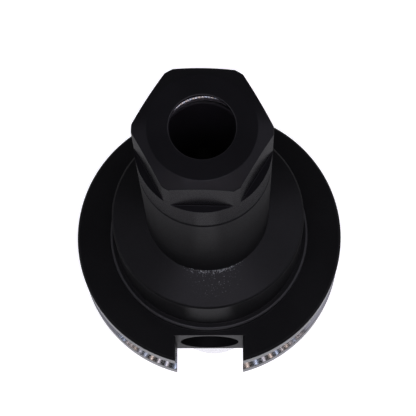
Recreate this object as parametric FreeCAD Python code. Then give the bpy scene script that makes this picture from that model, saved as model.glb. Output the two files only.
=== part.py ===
"""Steep-taper collet chuck holder: a 40-taper shank and flange, a neck, and a hexagonal clamping nut.

Millimetres. The origin is the centre of the gauge plane, where the taper is 44.45 mm across, and +Z
runs up the axis to the nut. The shallower of the two drive slots faces -Y.
"""
import FreeCAD, Part
import math
import os

# Taper shank, 7:24, size 40.
GAUGE_DIAMETER = 44.45
TAPER_PER_LENGTH = 7 / 24
SHANK_LENGTH = 68.4
SHANK_END_CHAMFER = 1.0
RELIEF_DEPTH = 0.7

# Drawbar end: pilot bore, threaded bore and the passage up to the collet.
PILOT_DIAMETER = 17.0
PILOT_DEPTH = 8.2
PILOT_CHAMFER = 0.8
DRAWBAR_BORE_DIAMETER = 14.0
DRAWBAR_BORE_DEPTH = 43.0
DRILL_POINT_ANGLE = 118
PASSAGE_DIAMETER = 10.5

# Gripper flange.
FLANGE_DIAMETER = 63.55
FLANGE_BACK_HEIGHT = 3.2
FLANGE_FACE_HEIGHT = 19.1
FLANGE_CHAMFER = 0.5
GROOVE_HEIGHT = 11.1
GROOVE_ROOT_DIAMETER = 56.25
GROOVE_ROOT_WIDTH = 3.75
GROOVE_ANGLE = 60

# Drive slots, and the hole that balances the deeper one.
SLOT_WIDTH = 16.1
FRONT_SLOT_FLOOR = 24.65
REAR_SLOT_FLOOR = 22.8
SLOT_CHAMFER = 0.5
SLOT_OVERRUN = 1.0
BALANCE_HOLE_DIAMETER = 14.0
BALANCE_HOLE_DEPTH = 8.0
BALANCE_HOLE_BELOW_FACE = 8.0

# Collar, boss and neck above the flange.
COLLAR_DIAMETER = 47.4
COLLAR_HEIGHT = 2.0
COLLAR_CHAMFER = 0.5
BOSS_DIAMETER = 44.4
BOSS_HEIGHT = 18.0
BOSS_CHAMFER = 0.4
SHOULDER_ANGLE = 20
NECK_DIAMETER = 28.0
NECK_CHAMFER = 0.4

# Projection from the gauge plane to the nut's face, and the nut.
PROJECTION = 100.0
NUT_LENGTH = 21.9
NUT_GAP = 0.5
NUT_DIAMETER = 28.0
ACROSS_FLATS = 25.0
HEX_LENGTH = 11.85
NUT_FACE_DIAMETER = 21.8
NUT_FACE_ANGLE = 30
NUT_FOOT_CHAMFER = 0.4
NUT_TURN = -1.3
NUT_MOUTH_DIAMETER = 13.2
NUT_MOUTH_LAND = 1.2
NUT_MOUTH_CHAMFER = 0.15
COLLET_CONE_ANGLE = 30
COLLET_CHAMBER_DIAMETER = 17.4
COLLET_CHAMBER_LENGTH = 1.6
LIP_DIAMETER = 16.2
LIP_OFFSET = 0.4
LIP_THICKNESS = 1.6

# Nose thread, drawn as its pitch cylinder in both pieces, and the 8-degree collet seat.
THREAD_PITCH_DIAMETER = 21.03
THREAD_CLEARANCE = 0.06
THREAD_RELIEF_WIDTH = 2.0
THREAD_RELIEF_DEPTH = 0.9
NOSE_TO_LIP = 1.0
NOSE_CHAMFER = 0.8
SEAT_MOUTH_DIAMETER = 16.2
SEAT_ANGLE = 8
SEAT_DEPTH = 20.0
SEAT_CHAMFER = 0.3

# Heights and radii that follow.
GAUGE_RADIUS = GAUGE_DIAMETER / 2
SHANK_END_HEIGHT = -SHANK_LENGTH
SHANK_END_RADIUS = GAUGE_RADIUS - SHANK_LENGTH * TAPER_PER_LENGTH / 2
FLANGE_RADIUS = FLANGE_DIAMETER / 2
COLLAR_TOP = FLANGE_FACE_HEIGHT + COLLAR_HEIGHT
BOSS_TOP = FLANGE_FACE_HEIGHT + BOSS_HEIGHT
NECK_RADIUS = NECK_DIAMETER / 2
NECK_FOOT = BOSS_TOP + (BOSS_DIAMETER / 2 - NECK_RADIUS) * math.tan(math.radians(SHOULDER_ANGLE))
NUT_FOOT = PROJECTION - NUT_LENGTH
NOSE_SHOULDER = NUT_FOOT - NUT_GAP
NUT_RADIUS = NUT_DIAMETER / 2
LEDGE_HEIGHT = PROJECTION - HEX_LENGTH
CONE_LENGTH = (COLLET_CHAMBER_DIAMETER - NUT_MOUTH_DIAMETER) / 2 / math.tan(math.radians(COLLET_CONE_ANGLE))
CHAMBER_TOP = PROJECTION - NUT_MOUTH_LAND - CONE_LENGTH
LIP_TOP = CHAMBER_TOP - COLLET_CHAMBER_LENGTH
LIP_FOOT = LIP_TOP - LIP_THICKNESS
NOSE_TOP = LIP_FOOT - NOSE_TO_LIP
THREAD_RADIUS = THREAD_PITCH_DIAMETER / 2
SEAT_END_HEIGHT = NOSE_TOP - SEAT_DEPTH
SEAT_END_RADIUS = SEAT_MOUTH_DIAMETER / 2 - SEAT_DEPTH * math.tan(math.radians(SEAT_ANGLE))

AXIS = FreeCAD.Vector(0, 0, 1)
CENTRE = FreeCAD.Vector(0, 0, 0)


def profile(points):
    """Closed wire in the XZ plane through (across, up) corners."""
    corners = [FreeCAD.Vector(across, 0, up) for across, up in points]
    return Part.makePolygon(corners + corners[:1])


def revolved(points):
    """Solid of revolution about the Z axis."""
    return Part.Face(profile(points)).revolve(CENTRE, AXIS, 360)


def taper_shank_and_flange():
    """Everything that is turned on the outside, from the drawbar end to the nose."""
    groove_half_root = GROOVE_ROOT_WIDTH / 2
    groove_depth = (FLANGE_DIAMETER - GROOVE_ROOT_DIAMETER) / 2
    groove_half_mouth = groove_half_root + groove_depth * math.tan(math.radians(GROOVE_ANGLE / 2))
    relief_radius = GAUGE_RADIUS - RELIEF_DEPTH
    thread_radius = THREAD_RADIUS - THREAD_CLEARANCE / 2
    thread_root = thread_radius - THREAD_RELIEF_DEPTH
    taper_slope = TAPER_PER_LENGTH / 2
    return revolved([
        (0, SHANK_END_HEIGHT),
        (SHANK_END_RADIUS - SHANK_END_CHAMFER, SHANK_END_HEIGHT),
        (SHANK_END_RADIUS + SHANK_END_CHAMFER * taper_slope, SHANK_END_HEIGHT + SHANK_END_CHAMFER),
        (GAUGE_RADIUS, 0),
        (relief_radius, RELIEF_DEPTH),
        (relief_radius, FLANGE_BACK_HEIGHT),
        (FLANGE_RADIUS - FLANGE_CHAMFER, FLANGE_BACK_HEIGHT),
        (FLANGE_RADIUS, FLANGE_BACK_HEIGHT + FLANGE_CHAMFER),
        (FLANGE_RADIUS, GROOVE_HEIGHT - groove_half_mouth),
        (GROOVE_ROOT_DIAMETER / 2, GROOVE_HEIGHT - groove_half_root),
        (GROOVE_ROOT_DIAMETER / 2, GROOVE_HEIGHT + groove_half_root),
        (FLANGE_RADIUS, GROOVE_HEIGHT + groove_half_mouth),
        (FLANGE_RADIUS, FLANGE_FACE_HEIGHT - FLANGE_CHAMFER),
        (FLANGE_RADIUS - FLANGE_CHAMFER, FLANGE_FACE_HEIGHT),
        (COLLAR_DIAMETER / 2, FLANGE_FACE_HEIGHT),
        (COLLAR_DIAMETER / 2, COLLAR_TOP - COLLAR_CHAMFER),
        (COLLAR_DIAMETER / 2 - COLLAR_CHAMFER, COLLAR_TOP),
        (BOSS_DIAMETER / 2, COLLAR_TOP),
        (BOSS_DIAMETER / 2, BOSS_TOP - BOSS_CHAMFER),
        (BOSS_DIAMETER / 2 - BOSS_CHAMFER, BOSS_TOP),
        (NECK_RADIUS, NECK_FOOT),
        (NECK_RADIUS, NOSE_SHOULDER - NECK_CHAMFER),
        (NECK_RADIUS - NECK_CHAMFER, NOSE_SHOULDER),
        (thread_root, NOSE_SHOULDER),
        (thread_root, NOSE_SHOULDER + THREAD_RELIEF_WIDTH - THREAD_RELIEF_DEPTH),
        (thread_radius, NOSE_SHOULDER + THREAD_RELIEF_WIDTH),
        (thread_radius, NOSE_TOP - NOSE_CHAMFER),
        (thread_radius - NOSE_CHAMFER, NOSE_TOP),
        (0, NOSE_TOP),
    ])


def bores():
    """The hollow along the axis: pilot, drawbar thread, coolant passage and collet seat."""
    pilot_top = SHANK_END_HEIGHT + PILOT_DEPTH
    drawbar_top = SHANK_END_HEIGHT + DRAWBAR_BORE_DEPTH
    drawbar_radius = DRAWBAR_BORE_DIAMETER / 2
    passage_radius = PASSAGE_DIAMETER / 2
    point_length = (drawbar_radius - passage_radius) / math.tan(math.radians(DRILL_POINT_ANGLE / 2))
    pilot_radius = PILOT_DIAMETER / 2
    seat_mouth_radius = SEAT_MOUTH_DIAMETER / 2
    seat_slope = math.tan(math.radians(SEAT_ANGLE))
    return revolved([
        (0, SHANK_END_HEIGHT),
        (pilot_radius + PILOT_CHAMFER, SHANK_END_HEIGHT),
        (pilot_radius, SHANK_END_HEIGHT + PILOT_CHAMFER),
        (pilot_radius, pilot_top),
        (drawbar_radius, pilot_top),
        (drawbar_radius, drawbar_top),
        (passage_radius, drawbar_top + point_length),
        (passage_radius, SEAT_END_HEIGHT),
        (SEAT_END_RADIUS, SEAT_END_HEIGHT),
        (seat_mouth_radius - SEAT_CHAMFER * seat_slope, NOSE_TOP - SEAT_CHAMFER),
        (seat_mouth_radius + SEAT_CHAMFER, NOSE_TOP),
        (0, NOSE_TOP),
    ])


def drive_slot(floor):
    """Cutter's path for a slot that opens towards -Y, with its half-round run-out above the flange."""
    reach = FLANGE_RADIUS - floor + SLOT_OVERRUN
    half_width = SLOT_WIDTH / 2
    foot = FLANGE_BACK_HEIGHT - SLOT_OVERRUN
    end = FLANGE_FACE_HEIGHT + SLOT_OVERRUN
    outward = FreeCAD.Vector(0, -1, 0)
    channel = Part.makeBox(SLOT_WIDTH, reach, end - foot, FreeCAD.Vector(-half_width, -floor - reach, foot))
    run_out = Part.makeCylinder(half_width, reach, FreeCAD.Vector(0, -floor, end), outward)
    mouth = half_width + SLOT_CHAMFER
    edge = [
        FreeCAD.Vector(-half_width, -floor, FLANGE_FACE_HEIGHT - SLOT_CHAMFER),
        FreeCAD.Vector(half_width, -floor, FLANGE_FACE_HEIGHT - SLOT_CHAMFER),
        FreeCAD.Vector(mouth, -floor, FLANGE_FACE_HEIGHT),
        FreeCAD.Vector(-mouth, -floor, FLANGE_FACE_HEIGHT),
    ]
    chamfer = Part.Face(Part.makePolygon(edge + edge[:1])).extrude(outward * reach)
    return channel.fuse([run_out, chamfer])


def balance_hole():
    """Blind drilled hole in the floor of the front slot."""
    height = FLANGE_FACE_HEIGHT - BALANCE_HOLE_BELOW_FACE
    radius = BALANCE_HOLE_DIAMETER / 2
    point_length = radius / math.tan(math.radians(DRILL_POINT_ANGLE / 2))
    mouth = FreeCAD.Vector(0, -FRONT_SLOT_FLOOR, height)
    inward = FreeCAD.Vector(0, 1, 0)
    hole = Part.makeCylinder(radius, BALANCE_HOLE_DEPTH, mouth, inward)
    point = Part.makeCone(radius, 0, point_length, mouth + inward * BALANCE_HOLE_DEPTH, inward)
    return hole.fuse(point)


def holder_body():
    """Shank, flange, boss, neck and nose, machined from one bar."""
    rear_slot = drive_slot(REAR_SLOT_FLOOR).rotate(CENTRE, AXIS, 180)
    cuts = [bores(), drive_slot(FRONT_SLOT_FLOOR), rear_slot, balance_hole()]
    return taper_shank_and_flange().cut(cuts)


def nut_blank():
    """Round blank of the nut: skirt, then a chamfer that leaves the flat ring of the face."""
    face_radius = NUT_FACE_DIAMETER / 2
    chamfer_drop = (NUT_RADIUS - face_radius) * math.tan(math.radians(NUT_FACE_ANGLE))
    return revolved([
        (0, NUT_FOOT),
        (NUT_RADIUS - NUT_FOOT_CHAMFER, NUT_FOOT),
        (NUT_RADIUS, NUT_FOOT + NUT_FOOT_CHAMFER),
        (NUT_RADIUS, PROJECTION - chamfer_drop),
        (face_radius, PROJECTION),
        (0, PROJECTION),
    ])


def flat_cutters():
    """Six blocks that mill the hexagon down to the ledge above the skirt."""
    clear = NUT_RADIUS * 2
    corner = FreeCAD.Vector(ACROSS_FLATS / 2, -clear / 2, LEDGE_HEIGHT)
    cutters = []
    for i in range(6):
        cutter = Part.makeBox(clear, clear, clear, corner)
        cutter.rotate(CENTRE, AXIS, 60 * i - 90)
        cutters.append(cutter)
    return cutters


def nut_hollow():
    """Mouth, 30-degree collet cone, chamber, off-centre extraction lip and the threaded bore."""
    mouth_radius = NUT_MOUTH_DIAMETER / 2
    chamber_radius = COLLET_CHAMBER_DIAMETER / 2
    lip_radius = LIP_DIAMETER / 2
    thread_radius = THREAD_RADIUS + THREAD_CLEARANCE / 2
    mouth = revolved([
        (0, LIP_TOP),
        (chamber_radius, LIP_TOP),
        (chamber_radius, CHAMBER_TOP),
        (mouth_radius, PROJECTION - NUT_MOUTH_LAND),
        (mouth_radius, PROJECTION - NUT_MOUTH_CHAMFER),
        (mouth_radius + NUT_MOUTH_CHAMFER, PROJECTION),
        (0, PROJECTION),
    ])
    lip = Part.makeCylinder(lip_radius, LIP_THICKNESS, FreeCAD.Vector(LIP_OFFSET, 0, LIP_FOOT))
    bore = revolved([
        (0, NUT_FOOT),
        (thread_radius + NOSE_CHAMFER, NUT_FOOT),
        (thread_radius, NUT_FOOT + NOSE_CHAMFER),
        (thread_radius, LIP_FOOT),
        (0, LIP_FOOT),
    ])
    return [mouth, lip, bore]


def clamping_nut():
    """Hexagonal nut, turned a little from square as it was left."""
    nut = nut_blank().cut(flat_cutters() + nut_hollow())
    nut.rotate(CENTRE, AXIS, NUT_TURN)
    return nut


def save(name, shape):
    """Write one piece as a STEP file."""
    solid = shape.removeSplitter().Solids[0]
    solid.exportStep(os.path.join("parts", name + ".step"))
    print(name, round(solid.Volume, 1), "mm3, valid", solid.isValid(), "solids", len(shape.Solids))


os.makedirs("parts", exist_ok=True)
save("holder_body", holder_body())
save("clamping_nut", clamping_nut())
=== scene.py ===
"""Steep-taper collet chuck holder: a blackened steel holder with a ground taper, and its clamping nut."""
import math
import bpy
import numpy as np
from mathutils import Matrix, Vector


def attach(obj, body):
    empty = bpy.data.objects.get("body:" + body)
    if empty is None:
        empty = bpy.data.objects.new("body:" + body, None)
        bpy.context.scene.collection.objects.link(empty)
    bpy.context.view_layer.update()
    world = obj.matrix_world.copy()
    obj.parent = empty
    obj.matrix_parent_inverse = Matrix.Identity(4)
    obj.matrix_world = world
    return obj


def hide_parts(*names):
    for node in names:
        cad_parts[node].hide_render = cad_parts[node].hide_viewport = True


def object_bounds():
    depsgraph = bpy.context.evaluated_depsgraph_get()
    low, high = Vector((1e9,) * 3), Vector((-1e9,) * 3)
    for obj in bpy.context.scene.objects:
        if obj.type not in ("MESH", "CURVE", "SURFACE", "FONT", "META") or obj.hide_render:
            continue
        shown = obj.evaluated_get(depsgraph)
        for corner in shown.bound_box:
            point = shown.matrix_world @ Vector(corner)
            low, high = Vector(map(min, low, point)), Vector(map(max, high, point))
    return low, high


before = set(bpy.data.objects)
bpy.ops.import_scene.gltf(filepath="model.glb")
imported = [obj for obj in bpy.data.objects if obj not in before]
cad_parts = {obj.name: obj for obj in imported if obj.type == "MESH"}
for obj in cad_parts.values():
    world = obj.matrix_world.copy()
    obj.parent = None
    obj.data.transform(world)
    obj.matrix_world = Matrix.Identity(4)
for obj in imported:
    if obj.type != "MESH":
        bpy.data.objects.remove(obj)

cad_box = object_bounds()

# Holder: taper shank, gripper flange, collar, boss, neck and nose in one piece of alloy steel. It is
# turned from bar, its two drive slots are milled and the balance hole is drilled, then it is hardened
# and blackened. The taper, the back of the flange and the gripper groove are ground bright last.
MM = 0.001
TURNED_STEPS = 384
HOLDER_SECTION = [  # radius, height and edge rounding in mm, once round the wall
    (9.30, -68.40, 0.15), (11.25, -68.40, 0.20), (12.396, -67.40, 0.30), (22.225, 0.00, 0.15),
    (21.525, 0.70, 0.20), (21.525, 3.20, 0.40), (31.275, 3.20, 0.12), (31.775, 3.70, 0.12),
    (31.775, 7.118, 0.20), (28.125, 9.225, 0.50), (28.125, 12.975, 0.50), (31.775, 15.082, 0.20),
    (31.775, 18.60, 0.12), (31.275, 19.10, 0.12), (23.70, 19.10, 0.10), (23.70, 21.10, 0.55),
    (22.20, 21.10, 0.12), (22.20, 36.70, 0.15), (21.80, 37.10, 0.15), (14.00, 40.082, 0.20),
    (14.00, 77.20, 0.10), (13.60, 77.60, 0.10), (9.585, 77.60, 0.20), (9.585, 78.70, 0.20),
    (10.485, 79.60, 0.10), (10.485, 90.163, 0.10), (9.685, 90.963, 0.15), (8.40, 90.963, 0.08),
    (8.058, 90.663, 0.10), (5.289, 70.963, 0.01), (5.25, 70.963, 0.01), (5.25, -24.35, 0.30),
    (8.05, -25.40, 0.10), (8.05, -60.20, 0.10), (8.50, -60.20, 0.15), (8.50, -67.60, 0.15)]
SLOT_SECTION = [  # across and height in mm: 16.1 mm wide, flaring where it breaks the flange's face
    (-8.05, 2.0), (8.05, 2.0), (8.05, 18.6), (9.55, 20.1),
    (9.55, 26.0), (-9.55, 26.0), (-9.55, 20.1), (-8.05, 18.6)]
FRONT_FLOOR = -24.65
REAR_FLOOR = 22.8
SLOT_REACH = 34.0
BALANCE_HOLE = [(0.002, 12.444), (7.0, 16.65), (7.0, 34.0), (0.002, 34.0)]  # radius, distance out
BALANCE_HOLE_STEPS = 128
GROOVE_HEIGHT = 11.1
LARGE_FACES_FIRST = 100


def rounded(corners, arc_steps=6):
    """Closed section with its corners rounded.

    Each corner becomes points on the circle that touches both of its sides. A point is the circle's
    centre plus a blend of the two touching radii, weighted by sines so that it stays on the circle.
    """
    corners = np.array(corners)
    spot, rounding = corners[:, :2], corners[:, 2:]
    back = np.roll(spot, 1, 0) - spot
    onward = np.roll(spot, -1, 0) - spot
    back /= np.linalg.norm(back, axis=1, keepdims=True)
    onward /= np.linalg.norm(onward, axis=1, keepdims=True)
    half = np.arccos((back * onward).sum(1, keepdims=True)) / 2
    middle = (back + onward) / np.linalg.norm(back + onward, axis=1, keepdims=True)
    centre = spot + middle * rounding / np.sin(half)
    start = spot + back * rounding / np.tan(half) - centre
    end = spot + onward * rounding / np.tan(half) - centre
    sweep = (np.pi - 2 * half)[:, None]
    t = np.linspace(0, 1, arc_steps)[None, :, None]
    arc = (np.sin((1 - t) * sweep) * start[:, None] + np.sin(t * sweep) * end[:, None]) / np.sin(sweep)
    return (centre[:, None] + arc).reshape(-1, 2)


def shaped(name, points, faces):
    """Object whose mesh has these points, in mm, and these faces."""
    mesh = bpy.data.meshes.new(name)
    mesh.from_pydata((np.array(points) * MM).tolist(), [], faces)
    piece = bpy.data.objects.new(name, mesh)
    bpy.context.collection.objects.link(piece)
    return piece


def ring_faces(rows, columns):
    """Four-sided faces of a grid that closes on itself both ways: row, next column, next row, back."""
    i, j = np.meshgrid(np.arange(rows), np.arange(columns), indexing="ij")
    up, along = (i + 1) % rows, (j + 1) % columns
    corners = [i * columns + j, i * columns + along, up * columns + along, up * columns + j]
    return np.stack(corners, -1).reshape(-1, 4).tolist()


def turned(name, radius, height, steps=TURNED_STEPS):
    """Surface of revolution: at angle a, radius r and height z give the point (r cos a, r sin a, z)."""
    a = np.linspace(0, 2 * np.pi, steps, endpoint=False)
    points = np.stack([radius * np.cos(a), radius * np.sin(a), height + 0 * a], -1)
    return shaped(name, points.reshape(-1, 3), ring_faces(len(height), steps))


def bar(name, section, start, end):
    """Bar with this (x, z) section from y start to y end: the section's points at both ends, joined."""
    section = np.array(section)
    count = len(section)
    k = np.arange(count)
    near = np.column_stack([section[:, 0], np.full(count, start), section[:, 1]])
    sides = np.column_stack([k + count, (k + 1) % count + count, (k + 1) % count, k])
    ends = [k.tolist(), (k[::-1] + count).tolist()]
    return shaped(name, np.vstack([near, near + [0, end - start, 0]]), sides.tolist() + ends)


def cut(piece, cutters, operation):
    """Works each cutter into the piece, keeps the result as its mesh and removes the cutters."""
    for cutter in cutters:
        step = piece.modifiers.new(cutter.name, "BOOLEAN")
        step.object = cutter
        step.operation = operation
        step.solver = "EXACT"
    worked = piece.evaluated_get(bpy.context.evaluated_depsgraph_get())
    piece.data = bpy.data.meshes.new_from_object(worked)
    piece.data.name = piece.name
    piece.modifiers.clear()
    for cutter in cutters:
        bpy.data.objects.remove(cutter)


def edges_kept(piece, crease=25):
    """Smooth shading that stops at creases, where each wide face keeps its own direction."""
    piece.data.shade_smooth()
    piece.data.set_sharp_from_angle(angle=math.radians(crease))
    weighted = piece.modifiers.new("wide_faces_first", "WEIGHTED_NORMAL")
    weighted.keep_sharp = True
    weighted.weight = LARGE_FACES_FIRST


def surfaced(piece, materials, choice):
    """Gives the piece these materials, and each face the one that choice(radius, height, across) picks."""
    for material in materials:
        piece.data.materials.append(material)
    centres = np.empty(len(piece.data.polygons) * 3)
    piece.data.polygons.foreach_get("center", centres)
    x, y, z = centres.reshape(-1, 3).T / MM
    piece.data.polygons.foreach_set("material_index", choice(np.hypot(x, y), z, np.abs(x)))


holder_points = rounded(HOLDER_SECTION)
holder = turned("holder", holder_points[:, :1], holder_points[:, 1:])
front_slot = bar("front_slot", SLOT_SECTION, -SLOT_REACH, FRONT_FLOOR)
rear_slot = bar("rear_slot", SLOT_SECTION, REAR_FLOOR, SLOT_REACH)
hole_points = np.array(BALANCE_HOLE)
hole = turned("hole", hole_points[:, :1], hole_points[:, 1:], BALANCE_HOLE_STEPS)
towards_front = Matrix.Rotation(math.radians(90), 4, "X")
hole.data.transform(Matrix.Translation((0, 0, GROOVE_HEIGHT * MM)) @ towards_front)
cut(holder, [front_slot, rear_slot, hole], "DIFFERENCE")
edges_kept(holder)


def node(tree, kind, *wires, **settings):
    """Adds a shader node. Each wire is an input with its number, its colour or another node's output."""
    made = tree.nodes.new("ShaderNode" + kind)
    for setting, value in settings.items():
        setattr(made, setting, value)
    for socket, value in wires:
        if isinstance(value, bpy.types.NodeSocket):
            tree.links.new(value, made.inputs[socket])
        else:
            made.inputs[socket].default_value = value
    return made


def worked(tree, operation, *values):
    """Result of one arithmetic node on these numbers or outputs."""
    return node(tree, "Math", *enumerate(values), operation=operation).outputs[0]


def between(tree, value, low, high, start=0.0, end=1.0):
    """Goes smoothly from start to end as the value goes from low to high."""
    wires = ("Value", value), ("From Min", low), ("From Max", high), ("To Min", start), ("To Max", end)
    return node(tree, "MapRange", *wires, interpolation_type="SMOOTHSTEP").outputs[0]


def blended(tree, amount, first, second):
    """Colour that goes from the first to the second with the amount."""
    return node(tree, "Mix", (0, amount), (6, first), (7, second), data_type="RGBA").outputs[2]


def grain(tree, position, size, detail=3.0):
    """Cloudy variation about this size in mm, mostly from 0.3 to 0.7 with 0.5 in the middle."""
    wires = ("Vector", position), ("Scale", 1 / (size * MM)), ("Detail", detail)
    return node(tree, "TexNoise", *wires).outputs[0]


def lathe_place(tree, position):
    """Distance from the axis, height, and the two added, along which tool marks follow each other."""
    flat = node(tree, "VectorMath", (0, position), (1, (1, 1, 0)), operation="MULTIPLY").outputs[0]
    radius = node(tree, "VectorMath", (0, flat), operation="LENGTH").outputs["Value"]
    height = node(tree, "SeparateXYZ", (0, position)).outputs["Z"]
    return radius, height, worked(tree, "ADD", radius, height)


def tool_marks(tree, along, pitch):
    """Fine rings left by the tool: variation along one line only, about this pitch in mm."""
    wires = ("W", along), ("Scale", 1 / (pitch * MM)), ("Detail", 2.0)
    return node(tree, "TexNoise", *wires, noise_dimensions="1D").outputs[0]


def started(name):
    """New material: its node tree, its surface shader and the position on the object."""
    material = bpy.data.materials.new(name)
    material.use_nodes = True
    tree = material.node_tree
    return material, tree, tree.nodes["Principled BSDF"], node(tree, "TexCoord").outputs["Object"]


# Dust: places and sizes are in mm, amounts are shares.
DUST_MIDDLE = (1.5, -14.5, 39.8)
DUST_REACH = (9.0, 2.0)
NECK_CORNER = (15.2, 14.1)
SHOULDER_TOP = (40.3, 40.1)
CORNER_DUST = 0.2
SHOULDER_DUST = 0.035
DUST_SPECK = 0.28
DUST_LEVELS = (0.68, 0.82)
DUST_FADE = 0.04
DUST_COLOUR = (0.17, 0.18, 0.18, 1)


def dusted(tree, position, radius, height, shade):
    """Pale dust caught in the corner at the neck's front foot, thinning out over the shoulder there.

    Its amount falls with distance from the middle of the foot, is nil above the shoulder and is more
    in the corner. Specks show where fine grain plus the amount passes the dust levels.
    """
    middle = tuple(along * MM for along in DUST_MIDDLE)
    away = node(tree, "VectorMath", (0, position), (1, middle), operation="DISTANCE").outputs["Value"]
    front = between(tree, away, DUST_REACH[0] * MM, DUST_REACH[1] * MM)
    corner = between(tree, radius, NECK_CORNER[0] * MM, NECK_CORNER[1] * MM)
    flat = between(tree, height, SHOULDER_TOP[0] * MM, SHOULDER_TOP[1] * MM)
    thickness = worked(tree, "MULTIPLY_ADD", corner, CORNER_DUST, SHOULDER_DUST)
    amount = worked(tree, "MULTIPLY", worked(tree, "MULTIPLY", front, flat), thickness)
    specks = worked(tree, "ADD", grain(tree, position, DUST_SPECK, detail=1.0), amount)
    dust = between(tree, specks, *DUST_LEVELS)
    cover = worked(tree, "MULTIPLY", dust, between(tree, amount, 0.0, DUST_FADE))
    return blended(tree, cover, shade, DUST_COLOUR)


# Black oxide: sizes are in mm, ranges run from first to last.
EDGE_BREAK = 0.1
EDGE_SAMPLES = 4
GRAIN_RANGE = (0.3, 0.7)
WORN_EDGE = (0.985, 0.9)
WORN_PATCHES = (0.4, 0.6)
WORN_SHARE = (0.2, 0.6)
WORN_COLOUR = (0.03, 0.03, 0.033, 1)
OXIDE_PATCH = 14.0
OXIDE_PATCHES = (0.35, 0.65)
OXIDE_LIGHTER = 1.25
OXIDE_GRAIN = 0.3
OXIDE_GRAIN_SHARE = 0.6
OXIDE_RELIEF = 0.02
OXIDE_RELIEF_STRENGTH = 0.25
OXIDE_ROUGHNESS = 0.7
OIL_SPREAD = (0.87, 1.13)


def blackened(name, colour, gloss, softness=0.34, index=1.55, mark_pitch=0.35, dust=False):
    """Black oxide with a thin film of oil: near-black under a weak glossy coat, with tool marks.

    The colour drifts in wide patches and pales where the rounded edge turns from the face. The
    coat's weight is the gloss, varied by a fine grain, and the relief is tool marks plus grain.
    """
    material, tree, surface, position = started(name)
    radius, height, along = lathe_place(tree, position)
    edge = node(tree, "Bevel", ("Radius", EDGE_BREAK * MM), samples=EDGE_SAMPLES).outputs[0]
    facing = node(tree, "NewGeometry").outputs["Normal"]
    wires = (0, edge), (1, facing)
    agreement = node(tree, "VectorMath", *wires, operation="DOT_PRODUCT").outputs["Value"]
    patches = grain(tree, position, OXIDE_PATCH)
    fine = grain(tree, position, OXIDE_GRAIN, detail=2.0)
    worn = between(tree, agreement, *WORN_EDGE)
    wear = worked(tree, "MULTIPLY", worn, between(tree, patches, *WORN_PATCHES, *WORN_SHARE))
    light = tuple(OXIDE_LIGHTER * part for part in colour) + (1,)
    shade = blended(tree, between(tree, patches, *OXIDE_PATCHES), (*colour, 1), light)
    shade = blended(tree, wear, shade, WORN_COLOUR)
    if dust:
        shade = dusted(tree, position, radius, height, shade)
    tree.links.new(shade, surface.inputs["Base Color"])
    marks = tool_marks(tree, along, mark_pitch)
    relief = worked(tree, "ADD", marks, worked(tree, "MULTIPLY", fine, OXIDE_GRAIN_SHARE))
    wires = ("Strength", OXIDE_RELIEF_STRENGTH), ("Distance", OXIDE_RELIEF * MM)
    rough = node(tree, "Bump", *wires, ("Height", relief), ("Normal", edge)).outputs[0]
    tree.links.new(rough, surface.inputs["Normal"])
    tree.links.new(rough, surface.inputs["Coat Normal"])
    film = between(tree, fine, *GRAIN_RANGE, *(gloss * share for share in OIL_SPREAD))
    tree.links.new(film, surface.inputs["Coat Weight"])
    surface.inputs["Roughness"].default_value = OXIDE_ROUGHNESS
    surface.inputs["Specular IOR Level"].default_value = 0.0
    surface.inputs["Coat Roughness"].default_value = softness
    surface.inputs["Coat IOR"].default_value = index
    return material


# Ground steel: sizes are in mm, ranges run from first to last.
GROUND_EDGE_BREAK = 0.12
TARNISH_PATCH = 16.0
TARNISH_SHADES = (0.45, 0.75)
TARNISH_DULLS = (0.4, 0.7)
TARNISH_DARKER = 0.95
TARNISH_ROUGHER = 0.03
RING_SPREAD = (0.8, 1.2)
RING_RELIEF = 0.004
RING_STRENGTH = 0.15
RING_STRETCH = 0.8
QUARTER_TURN = 0.25


def ground(name, colour, roughness, mark_pitch=0.12):
    """Ground steel: bare metal with very fine rings from the wheel and faint cloudy tarnish.

    The rings run round the axis, so the tangent is the axis crossed with the position, and the
    highlight is stretched a quarter turn from it, across the rings.
    """
    material, tree, surface, position = started(name)
    along = lathe_place(tree, position)[2]
    edge = node(tree, "Bevel", ("Radius", GROUND_EDGE_BREAK * MM), samples=EDGE_SAMPLES).outputs[0]
    marks = tool_marks(tree, along, mark_pitch)
    patches = grain(tree, position, TARNISH_PATCH)
    darker = tuple(TARNISH_DARKER * part for part in colour) + (1,)
    shade = blended(tree, between(tree, patches, *TARNISH_SHADES), (*colour, 1), darker)
    tree.links.new(shade, surface.inputs["Base Color"])
    rings = between(tree, marks, *GRAIN_RANGE, *(roughness * share for share in RING_SPREAD))
    tarnish = between(tree, patches, *TARNISH_DULLS, 0.0, TARNISH_ROUGHER)
    tree.links.new(worked(tree, "ADD", rings, tarnish), surface.inputs["Roughness"])
    wires = ("Strength", RING_STRENGTH), ("Distance", RING_RELIEF * MM)
    relief = node(tree, "Bump", *wires, ("Height", marks), ("Normal", edge)).outputs[0]
    tree.links.new(relief, surface.inputs["Normal"])
    wires = (0, (0, 0, 1)), (1, position)
    around = node(tree, "VectorMath", *wires, operation="CROSS_PRODUCT").outputs[0]
    tree.links.new(around, surface.inputs["Tangent"])
    surface.inputs["Metallic"].default_value = 1.0
    surface.inputs["Anisotropic"].default_value = RING_STRETCH
    surface.inputs["Anisotropic Rotation"].default_value = QUARTER_TURN
    return material


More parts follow.
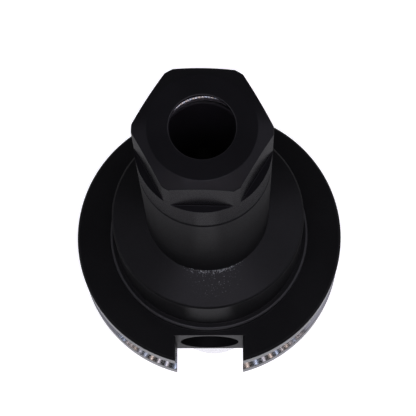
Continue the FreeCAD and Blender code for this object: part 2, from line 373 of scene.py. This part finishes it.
holder_finishes = [
    blackened("black_turned", (0.0060, 0.0060, 0.0063), 0.16, dust=True),
    ground("ground_taper", (0.60, 0.60, 0.61), 0.24),
    ground("ground_groove", (0.22, 0.222, 0.226), 0.09),
    ground("flange_rim", (0.085, 0.088, 0.092), 0.28),
    blackened("black_seat", (0.012, 0.011, 0.013), 0.16),
    blackened("black_milled", (0.009, 0.009, 0.0095), 0.29),
    # The paler black on the collar's rounded edge is a painted highlight.
    blackened("collar_painted_highlight", (0.020, 0.020, 0.021), 0.26)]
BLACK, BRIGHT, GROOVE, RIM, SEAT, MILLED, COLLAR_HIGHLIGHT = range(7)

# Limits of those finishes, in mm. Each lies just past the edge of its surface.
BESIDE_SLOTS = 8.1
IN_SLOTS = 8.3
OUTSIDE_BORE = 8.6
TAPER_TOP = 0.05
SEAT_RADIUS = 8.3
SEAT_FOOT = 60.0
RIM_RADIUS = 31.6
RIM_HEIGHTS = (3.3, 18.95)
RIM_GAP = 3.95
GROOVE_RADIUS = 27.9
GROOVE_HEIGHTS = (7.0, 15.2)
BACK_RADIUS = 22.0
BACK_TOP = 7.2
SLOT_RADIUS = 22.7
SLOT_HEIGHTS = (1.0, 18.9)
COLLAR_EDGE_RADII = (23.2, 23.69)
COLLAR_EDGE_HEIGHTS = (20.6, 21.09)


def within(values, limits):
    """True where the value lies between the two limits."""
    return (values > limits[0]) & (values < limits[1])


def holder_choice(radius, height, across):
    """Finish by place: ground taper, seat, dull rim, groove, flange back, slots, a painted highlight on the
    collar's edge, or black.
    """
    beside = across > BESIDE_SLOTS
    taper = (height < TAPER_TOP) & (radius > OUTSIDE_BORE)
    seat = (radius < SEAT_RADIUS) & (height > SEAT_FOOT)
    rim = beside & (radius > RIM_RADIUS) & within(height, RIM_HEIGHTS)
    rim = rim & (np.abs(height - GROOVE_HEIGHT) > RIM_GAP)
    groove = beside & (radius > GROOVE_RADIUS) & within(height, GROOVE_HEIGHTS)
    back = beside & (radius > BACK_RADIUS) & (height < BACK_TOP)
    slot = (across < IN_SLOTS) & (radius > SLOT_RADIUS) & within(height, SLOT_HEIGHTS)
    # The collar's rounded edge, where the paler colour is a painted highlight.
    edge = within(radius, COLLAR_EDGE_RADII) & within(height, COLLAR_EDGE_HEIGHTS)
    places = [taper, seat, rim, groove, back, slot, edge]
    finishes = [BRIGHT, SEAT, RIM, GROOVE, BRIGHT, MILLED, COLLAR_HIGHLIGHT]
    return np.select(places, finishes, BLACK).astype(np.int32)


surfaced(holder, holder_finishes, holder_choice)
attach(holder, "holder")
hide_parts("holder_body")

# Drawbar thread: M16 thread with a pitch of 2 mm, cut in the bore of the shank for the pull stud.
# It is drawn as a thin sleeve set in the bore, 14 mm across its crests, and it is blackened.
THREAD_CREST = 7.0
THREAD_ROOT = 8.0
THREAD_PITCH = 2.0
THREAD_FOOT = -60.1
THREAD_HEAD = -25.5
THREAD_STEEPNESS = 1.5
THREAD_FLAT = 0.25
THREAD_CREASE = 40
SLEEVE_OUTSIDE = 8.3


def thread_sleeve(rows=260, columns=96):
    """Sleeve with a thread inside: the radius falls from root to crest with a triangle wave of height
    over pitch less angle over a full turn, cut flat at both, and the ridge fades out at the ends."""
    a = np.linspace(0, 2 * np.pi, columns, endpoint=False)
    z = np.linspace(THREAD_HEAD, THREAD_FOOT, rows)[:, None]
    phase = (z / THREAD_PITCH - a / (2 * np.pi)) % 1
    ridge = np.clip(THREAD_STEEPNESS * (1 - np.abs(2 * phase - 1)) - THREAD_FLAT, 0, 1)
    ridge = ridge * np.clip(np.minimum(THREAD_HEAD - z, z - THREAD_FOOT) / THREAD_PITCH, 0, 1)
    inside = THREAD_ROOT - (THREAD_ROOT - THREAD_CREST) * ridge
    radius = np.vstack([inside, np.full((2, columns), SLEEVE_OUTSIDE)])
    return turned("drawbar_thread", radius, np.vstack([z, [[THREAD_FOOT]], [[THREAD_HEAD]]]), columns)


thread = thread_sleeve()
edges_kept(thread, THREAD_CREASE)
thread.data.materials.append(blackened("black_thread", (0.010, 0.010, 0.011), 0.3))
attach(thread, "holder")

# Clamping nut: turned and blackened steel. Six flats, 25 mm across, are milled down to a ledge above
# the round skirt. Inside are the mouth, the 30 degree cone that closes the collet, and the lip that
# is set 0.4 mm off centre and draws the collet out again.
NUT_SECTION = [  # radius, height and edge rounding in mm, once round the wall
    (11.345, 78.10, 0.10), (13.60, 78.10, 0.10), (14.00, 78.50, 0.10), (14.00, 98.21, 0.45),
    (10.90, 100.00, 0.60), (6.75, 100.00, 0.05), (6.60, 99.85, 0.05), (6.60, 99.20, 0.10),
    (8.90, 95.163, 0.20), (8.90, 93.60, 0.05), (7.60, 93.563, 0.10), (7.60, 91.963, 0.10),
    (10.545, 91.963, 0.20), (10.545, 78.90, 0.10)]
NUT_TURN = -1.3
HALF_FLATS = 12.5
LEDGE_HEIGHT = 88.15
LEDGE_FILLET = 0.12
LIP_SECTION = [(0.002, 91.5), (8.32, 91.5), (8.32, 93.41), (8.62, 93.602), (0.002, 93.605)]
LIP_OFFSET = 0.4
LIP_STEPS = 192
TOOL_REACH = 20
TOOL_FOOT = 70
TOOL_HEAD = 104


def hexagon_envelope(arc_steps=8):
    """Six-sided tool that keeps what lies inside it: the distance of its sides from the axis is wide
    below the ledge, sweeps in along a quarter circle of the fillet's size, and is half the flats above."""
    t = np.linspace(0, np.pi / 2, arc_steps)
    distance = HALF_FLATS + LEDGE_FILLET * (1 - np.sin(t))
    distance = np.concatenate([[TOOL_REACH, TOOL_REACH], distance, [HALF_FLATS]])
    height = LEDGE_HEIGHT + LEDGE_FILLET * (1 - np.cos(t))
    height = np.concatenate([[TOOL_FOOT, LEDGE_HEIGHT], height, [TOOL_HEAD]])
    a = np.radians(60 * np.arange(6) + NUT_TURN)
    radius = distance[:, None] / math.cos(math.pi / 6)
    points = np.stack([radius * np.cos(a), radius * np.sin(a), height[:, None] + 0 * a], -1)
    sides = ring_faces(len(height), 6)[:-6]
    ends = [list(range(5, -1, -1)), list(range(6 * len(height) - 6, 6 * len(height)))]
    return shaped("hexagon", points.reshape(-1, 3), sides + ends)


nut_points = rounded(NUT_SECTION)
nut = turned("nut", nut_points[:, :1], nut_points[:, 1:])
cut(nut, [hexagon_envelope()], "INTERSECT")
lip_points = np.array(LIP_SECTION)
lip = turned("lip", lip_points[:, :1], lip_points[:, 1:], LIP_STEPS)
aside = Matrix.Rotation(math.radians(NUT_TURN), 4, "Z") @ Matrix.Translation((LIP_OFFSET * MM, 0, 0))
lip.data.transform(aside)
cut(nut, [lip], "DIFFERENCE")
edges_kept(nut)

nut_finishes = [
    blackened("black_nut", (0.0066, 0.0065, 0.0073), 0.14, 0.26, 1.6),
    ground("lip_edge", (0.30, 0.30, 0.31), 0.1),
    # The paler grey inside the nut is painted light in the bore.
    blackened("bore_painted_light", (0.070, 0.064, 0.070), 0.16),
    # The paler black on the mouth's edge is a painted highlight.
    blackened("mouth_painted_highlight", (0.020, 0.0195, 0.021), 0.24)]
BLACK_NUT, LIP_EDGE, BORE, MOUTH_HIGHLIGHT = range(4)

# Limits of those finishes, in mm.
LIP_RADIUS = 8.9
LIP_HEIGHTS = (93.42, 93.6)
BORE_RADIUS = 8.95
BORE_TOP = 99.3
MOUTH_RADIUS = 6.79
MOUTH_FOOT = 99.8


def nut_choice(radius, height, across):
    """Finish by place: the lip's bright edge, the paler bore with painted light, a painted highlight on the
    mouth's edge, or black.
    """
    edge = (radius < LIP_RADIUS) & within(height, LIP_HEIGHTS)
    # Inside the nut, where the paler grey is painted light.
    inside = (radius < BORE_RADIUS) & (height < BORE_TOP)
    # The mouth's edge, where the paler colour is a painted highlight.
    mouth = (radius < MOUTH_RADIUS) & (height > MOUTH_FOOT)
    places = [edge, inside, mouth]
    return np.select(places, [LIP_EDGE, BORE, MOUTH_HIGHLIGHT], BLACK_NUT).astype(np.int32)


surfaced(nut, nut_finishes, nut_choice)
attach(nut, "nut")
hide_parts("clamping_nut")

# Floor: a plain pale sheet just under the shank's end. Its colour and glow are painted brightest round
# the object and dimmer far off, a painted pool of light. It glows a little to what looks at it directly
# or in a polished face, so that it is white there, yet keeps the object's shadow. From underneath it is
# clear.
FLOOR_REACH = 4000
FLOOR_GAP = 0.05
PAPER_COLOUR = (0.82, 0.82, 0.82, 1)
PAPER_GLOW = 0.63
POOL_REACH = (0.35, 1.8)
POOL_LIGHT = (1.0, 0.3)
lowest = cad_box[0][2] / MM - FLOOR_GAP
floor_corners = [(-FLOOR_REACH, -FLOOR_REACH, lowest), (FLOOR_REACH, -FLOOR_REACH, lowest),
                 (FLOOR_REACH, FLOOR_REACH, lowest), (-FLOOR_REACH, FLOOR_REACH, lowest)]
floor = shaped("floor", floor_corners, [(0, 1, 2, 3)])
paper, tree, plain_surface, position = started("floor_paper")
tree.nodes.remove(plain_surface)
rays = node(tree, "LightPath").outputs
seen = worked(tree, "MAXIMUM", rays["Is Camera Ray"], rays["Is Glossy Ray"])
seen = worked(tree, "MAXIMUM", seen, rays["Is Transmission Ray"])
away = node(tree, "VectorMath", (0, position), operation="LENGTH").outputs["Value"]
# Painted pool of light: the floor's colour and glow fall off with distance from the middle.
painted_pool = between(tree, away, *POOL_REACH, *POOL_LIGHT)
paper_shade = blended(tree, painted_pool, (0, 0, 0, 1), PAPER_COLOUR)
lit = node(tree, "BsdfDiffuse", ("Color", paper_shade)).outputs[0]
glow = worked(tree, "MULTIPLY", worked(tree, "MULTIPLY", seen, painted_pool), PAPER_GLOW)
white = node(tree, "Emission", ("Strength", glow)).outputs[0]
both = node(tree, "AddShader", (0, lit), (1, white)).outputs[0]
under = node(tree, "NewGeometry").outputs["Backfacing"]
clear = node(tree, "BsdfTransparent").outputs[0]
shown = node(tree, "MixShader", (0, under), (1, both), (2, clear)).outputs[0]
tree.links.new(shown, tree.nodes["Material Output"].inputs["Surface"])
floor.data.materials.append(paper)

# Studio: a dim room that is paler low down, one large soft lamp high in front, a smaller one at each
# side, the right one the stronger, and a bank of upright tubes across the front, which the flange's
# groove and the lip's edge show as rows of beads.
ROOM_LEVELS = (0.05, 0.4)
ROOM_LIGHT = (0.25, 0.09)
room = bpy.data.worlds.new("room")
room.use_nodes = True
bpy.context.scene.world = room
tree = room.node_tree
level = node(tree, "SeparateXYZ", (0, node(tree, "TexCoord").outputs["Generated"])).outputs["Z"]
room_light = between(tree, level, *ROOM_LEVELS, *ROOM_LIGHT)
tree.links.new(room_light, tree.nodes["Background"].inputs["Strength"])
tree.nodes["Background"].inputs["Color"].default_value = (1, 1, 1, 1)
LAMP_COLOUR = (0.98, 0.95, 1.14)


def softbox(name, place, size, strength, facing=None):
    """Lamp at this place, size (wide, high), both in metres, turned to the object or another way. Its
    power is strength times area times pi, so that a mirror would show it at that strength."""
    lamp = bpy.data.objects.new(name, bpy.data.lights.new(name, "AREA"))
    lamp.data.shape = "RECTANGLE"
    lamp.data.size, lamp.data.size_y = size
    lamp.data.energy = strength * size[0] * size[1] * math.pi
    lamp.data.color = LAMP_COLOUR
    lamp.location = place
    lamp.rotation_euler = Vector(facing or place).to_track_quat("Z", "Y").to_euler()
    bpy.context.collection.objects.link(lamp)
    return lamp


softbox("front_lamp", (0.03, -0.38, 0.92), (0.8, 0.38), 3.0)
softbox("right_lamp", (0.8, 0.0, 0.6), (0.9, 0.9), 1.1)
softbox("left_lamp", (-0.9, -0.05, 0.53), (0.9, 0.9), 0.65)

TUBES = 29
TUBE_EDGE = (0.7, 0.97)
TINT_SPACING = 0.7
TINT_LEVELS = (0.4, 0.6)
WARM_TUBE = (1.0, 0.82, 0.62, 1)
COOL_TUBE = (0.78, 0.9, 1.0, 1)
tube_bank = softbox("tube_bank", (0.0, -1.0, 1.25), (3.25, 1.1), 6.0, facing=(0, -1, 0))
tube_bank.data.use_nodes = True
tree = tube_bank.data.node_tree
along = node(tree, "SeparateXYZ", (0, node(tree, "NewGeometry").outputs["Parametric"])).outputs["X"]
wave = worked(tree, "COSINE", worked(tree, "MULTIPLY", along, 2 * math.pi * TUBES))
tree.links.new(between(tree, wave, *TUBE_EDGE), tree.nodes["Emission"].inputs["Strength"])
spaced = worked(tree, "MULTIPLY", along, TINT_SPACING * TUBES)
drift = node(tree, "TexNoise", ("W", spaced), ("Scale", 1.0), noise_dimensions="1D").outputs[0]
tint = blended(tree, between(tree, drift, *TINT_LEVELS), WARM_TUBE, COOL_TUBE)
tree.links.new(tint, tree.nodes["Emission"].inputs["Color"])

# Camera: well above the front, looking down the length of the holder, and turned a little.
AZIMUTH = 3.07
ELEVATION = 73.9
ROLL = -3.19
DISTANCE = 397.6
AIM = (0.458, 7.136, 19.1)
LENS = 142.6
SENSOR = 36.0
SHIFT = (-0.0071, -0.0065)
turn = Matrix.Rotation(math.radians(AZIMUTH), 3, "Z") @ Matrix.Rotation(math.radians(90 - ELEVATION), 3, "X")
turn = turn @ Matrix.Rotation(math.radians(ROLL), 3, "Z")
lens = bpy.data.cameras.new("camera")
lens.sensor_width = SENSOR
lens.lens = LENS
lens.shift_x, lens.shift_y = SHIFT
camera = bpy.data.objects.new("camera", lens)
bpy.context.collection.objects.link(camera)
place = turn @ Vector((AIM[0], AIM[1], DISTANCE)) + Vector((0, 0, AIM[2]))
camera.matrix_world = Matrix.Translation(place * MM) @ turn.to_4x4()
bpy.context.scene.camera = camera
bpy.context.scene.view_settings.view_transform = "Standard"
